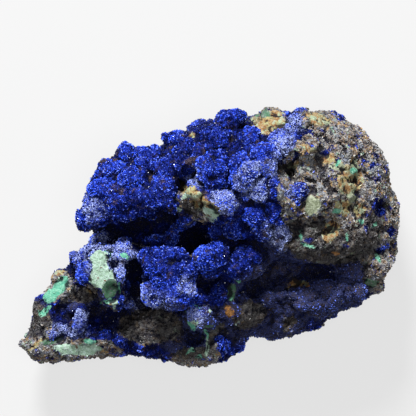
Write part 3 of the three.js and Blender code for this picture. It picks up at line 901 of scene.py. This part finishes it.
def mineralColour(w, where, fine, grain):
    # the colour of rock, grit and the ground under the crystals; fine and grain are patterns from 0 to 1
    broad = w.noise(where, "broad", 4.0, 0.6)
    specks = w.noise(where, "specks", 3.0, 0.7)
    apart = w.add("ShaderNodeVectorMath", {0: where, 1: (0.3, 0.1, 0.2)}).outputs[0]
    greenSpecks = w.noise(apart, "greenSpecks", 3.0, 0.7)
    further = w.add("ShaderNodeVectorMath", {0: where, 1: (0.1, 0.4, 0.2)}).outputs[0]
    blueSpecks = w.noise(further, "blueSpecks", 4.0, 0.7)
    # azurite: deep blue with brighter and darker grains
    blue = w.mixColour(w.step(fine, 0.36, 0.62), "azuriteDeep", "azurite")
    blue = w.mixColour(w.step(grain, 0.56, 0.72), blue, "azuriteBright")
    # painted shade: the blue goes deep in the hollows
    blue = w.mixColour(w.step(share(w, "middlePit"), -0.2, 0.1), blue, "azuriteDeep")
    # dull and shaded places: dark blue-grey, partly painted shade
    dullAndShaded = w.mixColour(w.step(fine, 0.4, 0.66), "rockDark", "azuriteDull")
    dullAndShaded = w.mixColour(w.step(grain, 0.6, 0.76), dullAndShaded, "rockGrey")
    dullAndShaded = w.mixColour(w.times(w.step(broad, 0.5, 0.56), 0.8), dullAndShaded, "rockDark")
    blue = w.mixColour(w.times(share(w, "dullAndShaded"), effects["dullAndShaded"]), blue, dullAndShaded)
    pale = w.mixColour(w.step(grain, 0.42, 0.6), blue, "azuritePale")
    blue = w.mixColour(w.times(share(w, "powder"), w.step(broad, 0.32, 0.6)), blue, pale)
    bare = w.mixColour(w.step(grain, 0.5, 0.66), "crease", "rockBrown")
    blue = w.mixColour(w.times(share(w, "bald"), effects["bald"]), blue, bare)
    # bare rock: grey and brown with iron stains and a little green
    stone = w.mixColour(w.step(broad, 0.44, 0.6), "rockBrown", "rockGrey")
    stone = w.mixColour(w.step(fine, 0.52, 0.7), stone, "rockPale")
    stone = w.mixColour(w.step(grain, 0.52, 0.36), stone, "rockDark")
    tint = w.times(w.step(blueSpecks, 0.48, 0.4), effects["blueRock"])
    stone = w.mixColour(tint, stone, "rockBlue")
    inputs = {"Vector": where, "Rotation": (0.3, 0.2, -0.75), "Scale": (0.45, 1.0, 1.0)}
    slanted = w.add("ShaderNodeMapping", inputs)
    thread = w.noise(slanted.outputs[0], "threads", 3.0, 0.6, 0.8)
    thread = w.step(w.math("ABSOLUTE", w.math("SUBTRACT", thread, 0.5)), 0.035, 0.008)
    stone = w.mixColour(w.times(thread, effects["threads"]), stone, "rockPale")
    stone = w.mixColour(w.step(specks, 0.56, 0.62), stone, "ochre")
    stone = w.mixColour(w.step(greenSpecks, 0.62, 0.68), stone, "paleGreen")
    stone = w.mixColour(w.step(blueSpecks, 0.56, 0.6), stone, blue)
    # painted shade and dull tone: the rock goes dark in the dull and shaded patches
    stone = w.mixColour(w.times(share(w, "dullAndShaded"), effects["dullAndShaded"]), stone, "rockDark")
    ragged = w.scaled(fine, 0.7, -0.35)

    def cover(base, name, top, softness, rag):
        amount = w.scaled(ragged, rag, share(w, name))
        return w.mixColour(w.step(amount, 0.5 - softness, 0.5 + softness), base, top)

    colour = cover(blue, "rock", stone, 0.1, 1.2)
    ochre = w.mixColour(w.step(fine, 0.38, 0.62), "rust", "ochre")
    ochre = w.mixColour(w.step(specks, 0.46, 0.6), ochre, "ochrePale")
    ochre = w.mixColour(w.times(w.step(greenSpecks, 0.5, 0.6), 0.6), ochre, "paleGreen")
    colour = cover(colour, "ochre", ochre, 0.1, 1.0)
    green = w.mixColour(w.step(fine, 0.4, 0.66), "paleGreen", "paleGreenLight")
    green = w.mixColour(w.step(specks, 0.6, 0.7), green, "rockBrown")
    colour = cover(colour, "paleGreen", green, 0.06, 0.6)
    # each patch of one mineral: its two tones, where they meet, and how soft and ragged its edge is
    for name, dark, light, low, high, softness, rag in (
        ("oliveGreen", "oliveGreen", "oliveGreenLight", 0.38, 0.66, 0.1, 0.8),
        ("darkGreen", "darkGreen", "rockGrey", 0.5, 0.66, 0.06, 0.4),
        ("malachite", "malachite", "malachiteLight", 0.36, 0.64, 0.06, 0.4),
        ("amber", "rust", "amber", 0.42, 0.66, 0.06, 0.2),
    ):
        top = w.mixColour(w.step(fine, low, high), dark, light)
        colour = cover(colour, name, top, softness, rag)
    return colour


def withPaintedShade(w, colour, strength):
    # painted shade: dark in the creases, deep in the hollows and where the specimen shuts off the view
    # outwards
    crease = w.math("MAXIMUM", w.step(share(w, "finePit"), 0.02, 0.24), w.step(share(w, "widePit"), 0.4, 2.0))
    crease = w.math("MAXIMUM", crease, w.times(w.step(share(w, "shut"), 0.45, 1.0), 0.8))
    return w.mixColour(w.times(crease, strength), colour, "crease")


def rockMaterial():
    material, w, where = newMaterial("azuriteRock")
    fine = w.noise(where, "fine", 5.0, 0.65)
    grain = w.noise(where, "grain", 3.0, 0.6)
    colour = mineralColour(w, where, fine, grain)
    # the high edges are worn pale
    worn = w.times(w.step(share(w, "finePit"), -0.05, -0.3), w.step(fine, 0.42, 0.6))
    worn = w.times(worn, w.step(share(w, "rock"), 0.5, 0.8))
    colour = w.mixColour(w.times(worn, effects["wornEdges"]), colour, "rockPale")
    # painted shade in the creases and hollows
    colour = withPaintedShade(w, colour, effects["rockPaintedShade"])
    relief = w.math("ADD", w.times(fine, 0.6), w.times(grain, 0.4))
    bump = w.add("ShaderNodeBump", {"Strength": 0.9, "Distance": patternSizes["fine"], "Height": relief})
    rough = w.mixNumber(w.step(w.noise(where, "gloss", 2.0), 0.45, 0.6), 0.5, 0.85)
    finishMaterial(w, colour, rough, effects["rockGloss"], Normal=bump.outputs[0])
    return material


def gritMaterial(name):
    material, w, where = newMaterial(name)
    tone = w.scaled(share(w, "tone"), 0.5, 0.25)
    other = w.math("FRACT", w.times(share(w, "tone"), 7.0))
    colour = mineralColour(w, where, tone, w.scaled(other, 0.5, 0.25))
    # painted shade in the creases and hollows
    colour = withPaintedShade(w, colour, effects["gritPaintedShade"])
    finishMaterial(w, colour, w.mixNumber(other, 0.35, 0.8), effects["gritGloss"])
    return material


def crystalMaterial(name, gloss):
    material, w, where = newMaterial(name)
    tone = share(w, "tone")
    pitFine = share(w, "finePit")
    # painted light and shade: bright on the crowns of the lumps and dark between them; drifts and clumps of
    # lighter crystals come at random
    drift = w.scaled(w.noise(where, "drift", 3.0, 0.6), 2.2, -1.1)
    clump = w.scaled(w.noise(where, "clump", 2.0, 0.6), 3.4, -1.7)
    crownLightAndShade = w.scaled(w.step(share(w, "middlePit"), 0.4, -1.0), 2.0, -1.32)
    level = w.scaled(tone, 0.3, w.math("ADD", crownLightAndShade, w.math("ADD", drift, clump)))
    # the deep patches darken the blue, partly as painted shade; the wide pattern darkens and lightens it at
    # random
    shade = w.scaled(w.noise(where, "shade", 2.0, 0.5), 1.2, -0.6)
    deepAndShaded = w.scaled(share(w, "deep"), -0.45, w.math("ADD", shade, 0.08))
    level = w.math("ADD", level, deepAndShaded)
    colour = w.mixColour(w.step(level, 0.2, 0.8), "azuriteDeep", "azurite")
    colour = w.mixColour(w.step(level, 0.6, 1.15), colour, "azuriteBright")
    # painted sheen: pale blue highlights on bright crystals, mostly on the crowns of the lumps
    paintedSheen = w.times(w.step(tone, 0.74, 0.84), w.step(level, 0.35, 0.9))
    colour = w.mixColour(w.times(paintedSheen, effects["paintedSheen"]), colour, "azuritePaintedSheen")
    # dull and painted shade in some places and powdered pale in others
    dullAndShadedShare = w.times(share(w, "dullAndShaded"), w.step(tone, 0.95, 0.75))
    colour = w.mixColour(dullAndShadedShare, colour, "azuriteDull")
    edge = w.step(pitFine, 0.02, -0.22)
    dusty = w.times(w.times(share(w, "powder"), w.step(tone, 0.3, 0.7)), edge)
    dusty = w.times(dusty, w.step(w.noise(where, "dust", 3.0, 0.6), 0.3, 0.5))
    colour = w.mixColour(w.times(dusty, effects["powder"]), colour, "azuritePale")
    # painted shade: dark blue in the creases, deep in the hollows and where the specimen shuts off the view
    # outwards
    crease = w.math("MAXIMUM", w.step(pitFine, -0.1, 0.26), w.step(share(w, "widePit"), 0.4, 2.2))
    crease = w.math("MAXIMUM", crease, w.times(w.step(share(w, "shut"), 0.15, 0.9), 0.6))
    colour = w.mixColour(w.times(crease, effects["crease"]), colour, "paintedShadeBlue")
    finishMaterial(w, colour, w.mixNumber(tone, 0.18, 0.4), gloss)
    return material


rockFinish = rockMaterial()
rock.data.materials.append(rockFinish)
print("materials ready")


# Crystals that cover the azurite and grit on the bare rock, grown over the rock with Geometry Nodes

perSquareMetre = 1e6
facesInCrystal = 5
fullTurn = 6.283
crystalShape = {"Vertices": 3, "Radius Top": 0.36, "Radius Bottom": 0.66, "Depth": 1.0}

crystalSettings = {
    "azuriteGrains": {
        "grownOn": "crust", "perSquareMillimetre": 1.18, "seed": 3,
        "width": (0.36, 0.75), "thick": 0.6, "tall": 0.5, "tilt": 32.0, "sunk": 0.12, "gloss": 0.0,
    },
    "azuriteBlades": {
        "grownOn": "crust", "perSquareMillimetre": 1.18, "seed": 8,
        "width": (0.5, 1.15), "thick": 0.28, "tall": 0.36, "tilt": 45.0, "sunk": 0.08, "gloss": 0.04,
    },
    "azuriteSparkle": {
        "grownOn": "crust", "perSquareMillimetre": 1.18, "seed": 15,
        "width": (0.22, 0.42), "thick": 0.6, "tall": 0.7, "tilt": 55.0, "sunk": 0.08, "gloss": 0.6,
    },
    "rockGrit": {
        "grownOn": "gritty", "perSquareMillimetre": 1.8, "seed": 21,
        "width": (0.5, 1.5), "thick": 0.3, "tall": 0.32, "tilt": 45.0, "sunk": 0.1,
    },
}


def crystalTree():
    tree = bpy.data.node_groups.new("crystalCrust", "GeometryNodeTree")
    w = Wiring(tree)
    kinds = {"Rock": "Geometry", "Seed": "Int", "Grown on": "String", "Finish": "Material"}
    for name in ("Density", "Smallest width", "Largest width", "Thickness", "Height", "Most tilt", "Sunk"):
        kinds[name] = "Float"
    sockets = {}
    for name, kind in kinds.items():
        sockets[name] = tree.interface.new_socket(name, in_out="INPUT", socket_type="NodeSocket" + kind)
    tree.interface.new_socket("Crystals", in_out="OUTPUT", socket_type="NodeSocketGeometry")
    given = w.add("NodeGroupInput").outputs
    seed = given["Seed"]

    def randomNumber(low, high, step):
        inputs = {2: low, 3: high, "Seed": w.math("ADD", seed, float(step))}
        return w.add("FunctionNodeRandomValue", inputs, data_type="FLOAT").outputs[1]

    grownOn = w.add("GeometryNodeInputNamedAttribute", {"Name": given["Grown on"]}, data_type="FLOAT")
    density = w.times(given["Density"], w.step(grownOn.outputs[0], 0.35, 0.7))
    inputs = {"Mesh": given["Rock"], "Density": density, "Seed": seed}
    spread = w.add("GeometryNodeDistributePointsOnFaces", inputs, distribute_method="RANDOM")
    # each crystal leans away from the surface's normal and is turned about its own length
    inputs = {0: (-1.0, -1.0, -1.0), 1: (1.0, 1.0, 1.0), "Seed": w.math("ADD", seed, 1.0)}
    lean = w.add("FunctionNodeRandomValue", inputs, data_type="FLOAT_VECTOR")
    mostLean = w.math("TANGENT", w.times(given["Most tilt"], 0.5))
    leaning = w.add("ShaderNodeVectorMath", {0: lean.outputs[0], "Scale": mostLean}, operation="SCALE")
    up = w.add("ShaderNodeVectorMath", {0: spread.outputs["Normal"], 1: leaning.outputs[0]}, operation="ADD")
    turned = w.add("FunctionNodeAlignRotationToVector", {"Vector": up.outputs[0]}, axis="Z")
    around = randomNumber(0.0, fullTurn, 2)
    twist = w.add("FunctionNodeAxisAngleToRotation", {"Axis": (0.0, 0.0, 1.0), "Angle": around})
    inputs = {0: turned.outputs[0], 1: twist.outputs[0]}
    spin = w.add("FunctionNodeRotateRotation", inputs, rotation_space="LOCAL")
    width = randomNumber(given["Smallest width"], given["Largest width"], 3)
    thickness = w.times(width, given["Thickness"])
    height = w.times(width, w.times(given["Height"], randomNumber(0.7, 1.3, 4)))
    size = w.add("ShaderNodeCombineXYZ", {"X": width, "Y": thickness, "Z": height})
    block = w.add("GeometryNodeMeshCone", crystalShape)
    put = w.add("GeometryNodeInstanceOnPoints", {
        "Points": spread.outputs["Points"], "Instance": block.outputs["Mesh"],
        "Rotation": spin.outputs[0], "Scale": size.outputs[0],
    })
    down = w.add("ShaderNodeCombineXYZ", {"Z": w.times(given["Sunk"], -1.0)})
    inputs = {"Instances": put.outputs[0], "Translation": down.outputs[0]}
    sink = w.add("GeometryNodeTranslateInstances", inputs)
    inputs = {"Geometry": sink.outputs[0], "Name": "tone", "Value": randomNumber(0.0, 1.0, 5)}
    toned = w.add("GeometryNodeStoreNamedAttribute", inputs, data_type="FLOAT", domain="INSTANCE")
    real = w.add("GeometryNodeRealizeInstances", {"Geometry": toned.outputs[0]})
    finish = w.add("GeometryNodeSetMaterial", {"Geometry": real.outputs[0], "Material": given["Finish"]})
    w.feed(w.add("NodeGroupOutput").inputs[0], finish.outputs[0])
    return tree, sockets


def growCrystals(name, settings, tree, sockets):
    if settings["grownOn"] == "crust":
        finish = crystalMaterial(name, settings["gloss"])
    else:
        finish = gritMaterial(name)
    draft = bpy.data.objects.new(name + "Draft", rock.data.copy())
    scene.collection.objects.link(draft)
    growth = draft.modifiers.new("growth", "NODES")
    growth.node_group = tree
    low, high = settings["width"]
    values = {
        "Density": settings["perSquareMillimetre"] * perSquareMetre,
        "Smallest width": low * millimetre,
        "Largest width": high * millimetre,
        "Thickness": settings["thick"],
        "Height": settings["tall"],
        "Most tilt": math.radians(settings["tilt"]),
        "Sunk": settings["sunk"] * millimetre,
        "Seed": settings["seed"],
        "Grown on": settings["grownOn"],
        "Finish": finish,
    }
    for label, value in values.items():
        growth[sockets[label].identifier] = value
    mesh = bakedMesh(draft)
    crystals = bpy.data.objects.new(name, mesh)
    scene.collection.objects.link(crystals)
    print(name, len(mesh.polygons) // facesInCrystal, "crystals")
    return crystals


crystalNodes, crystalSockets = crystalTree()
pieces = [rock]
for label, settings in crystalSettings.items():
    pieces.append(growCrystals(label, settings, crystalNodes, crystalSockets))

for piece in pieces:
    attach(piece, "root")
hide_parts("azurite_specimen")
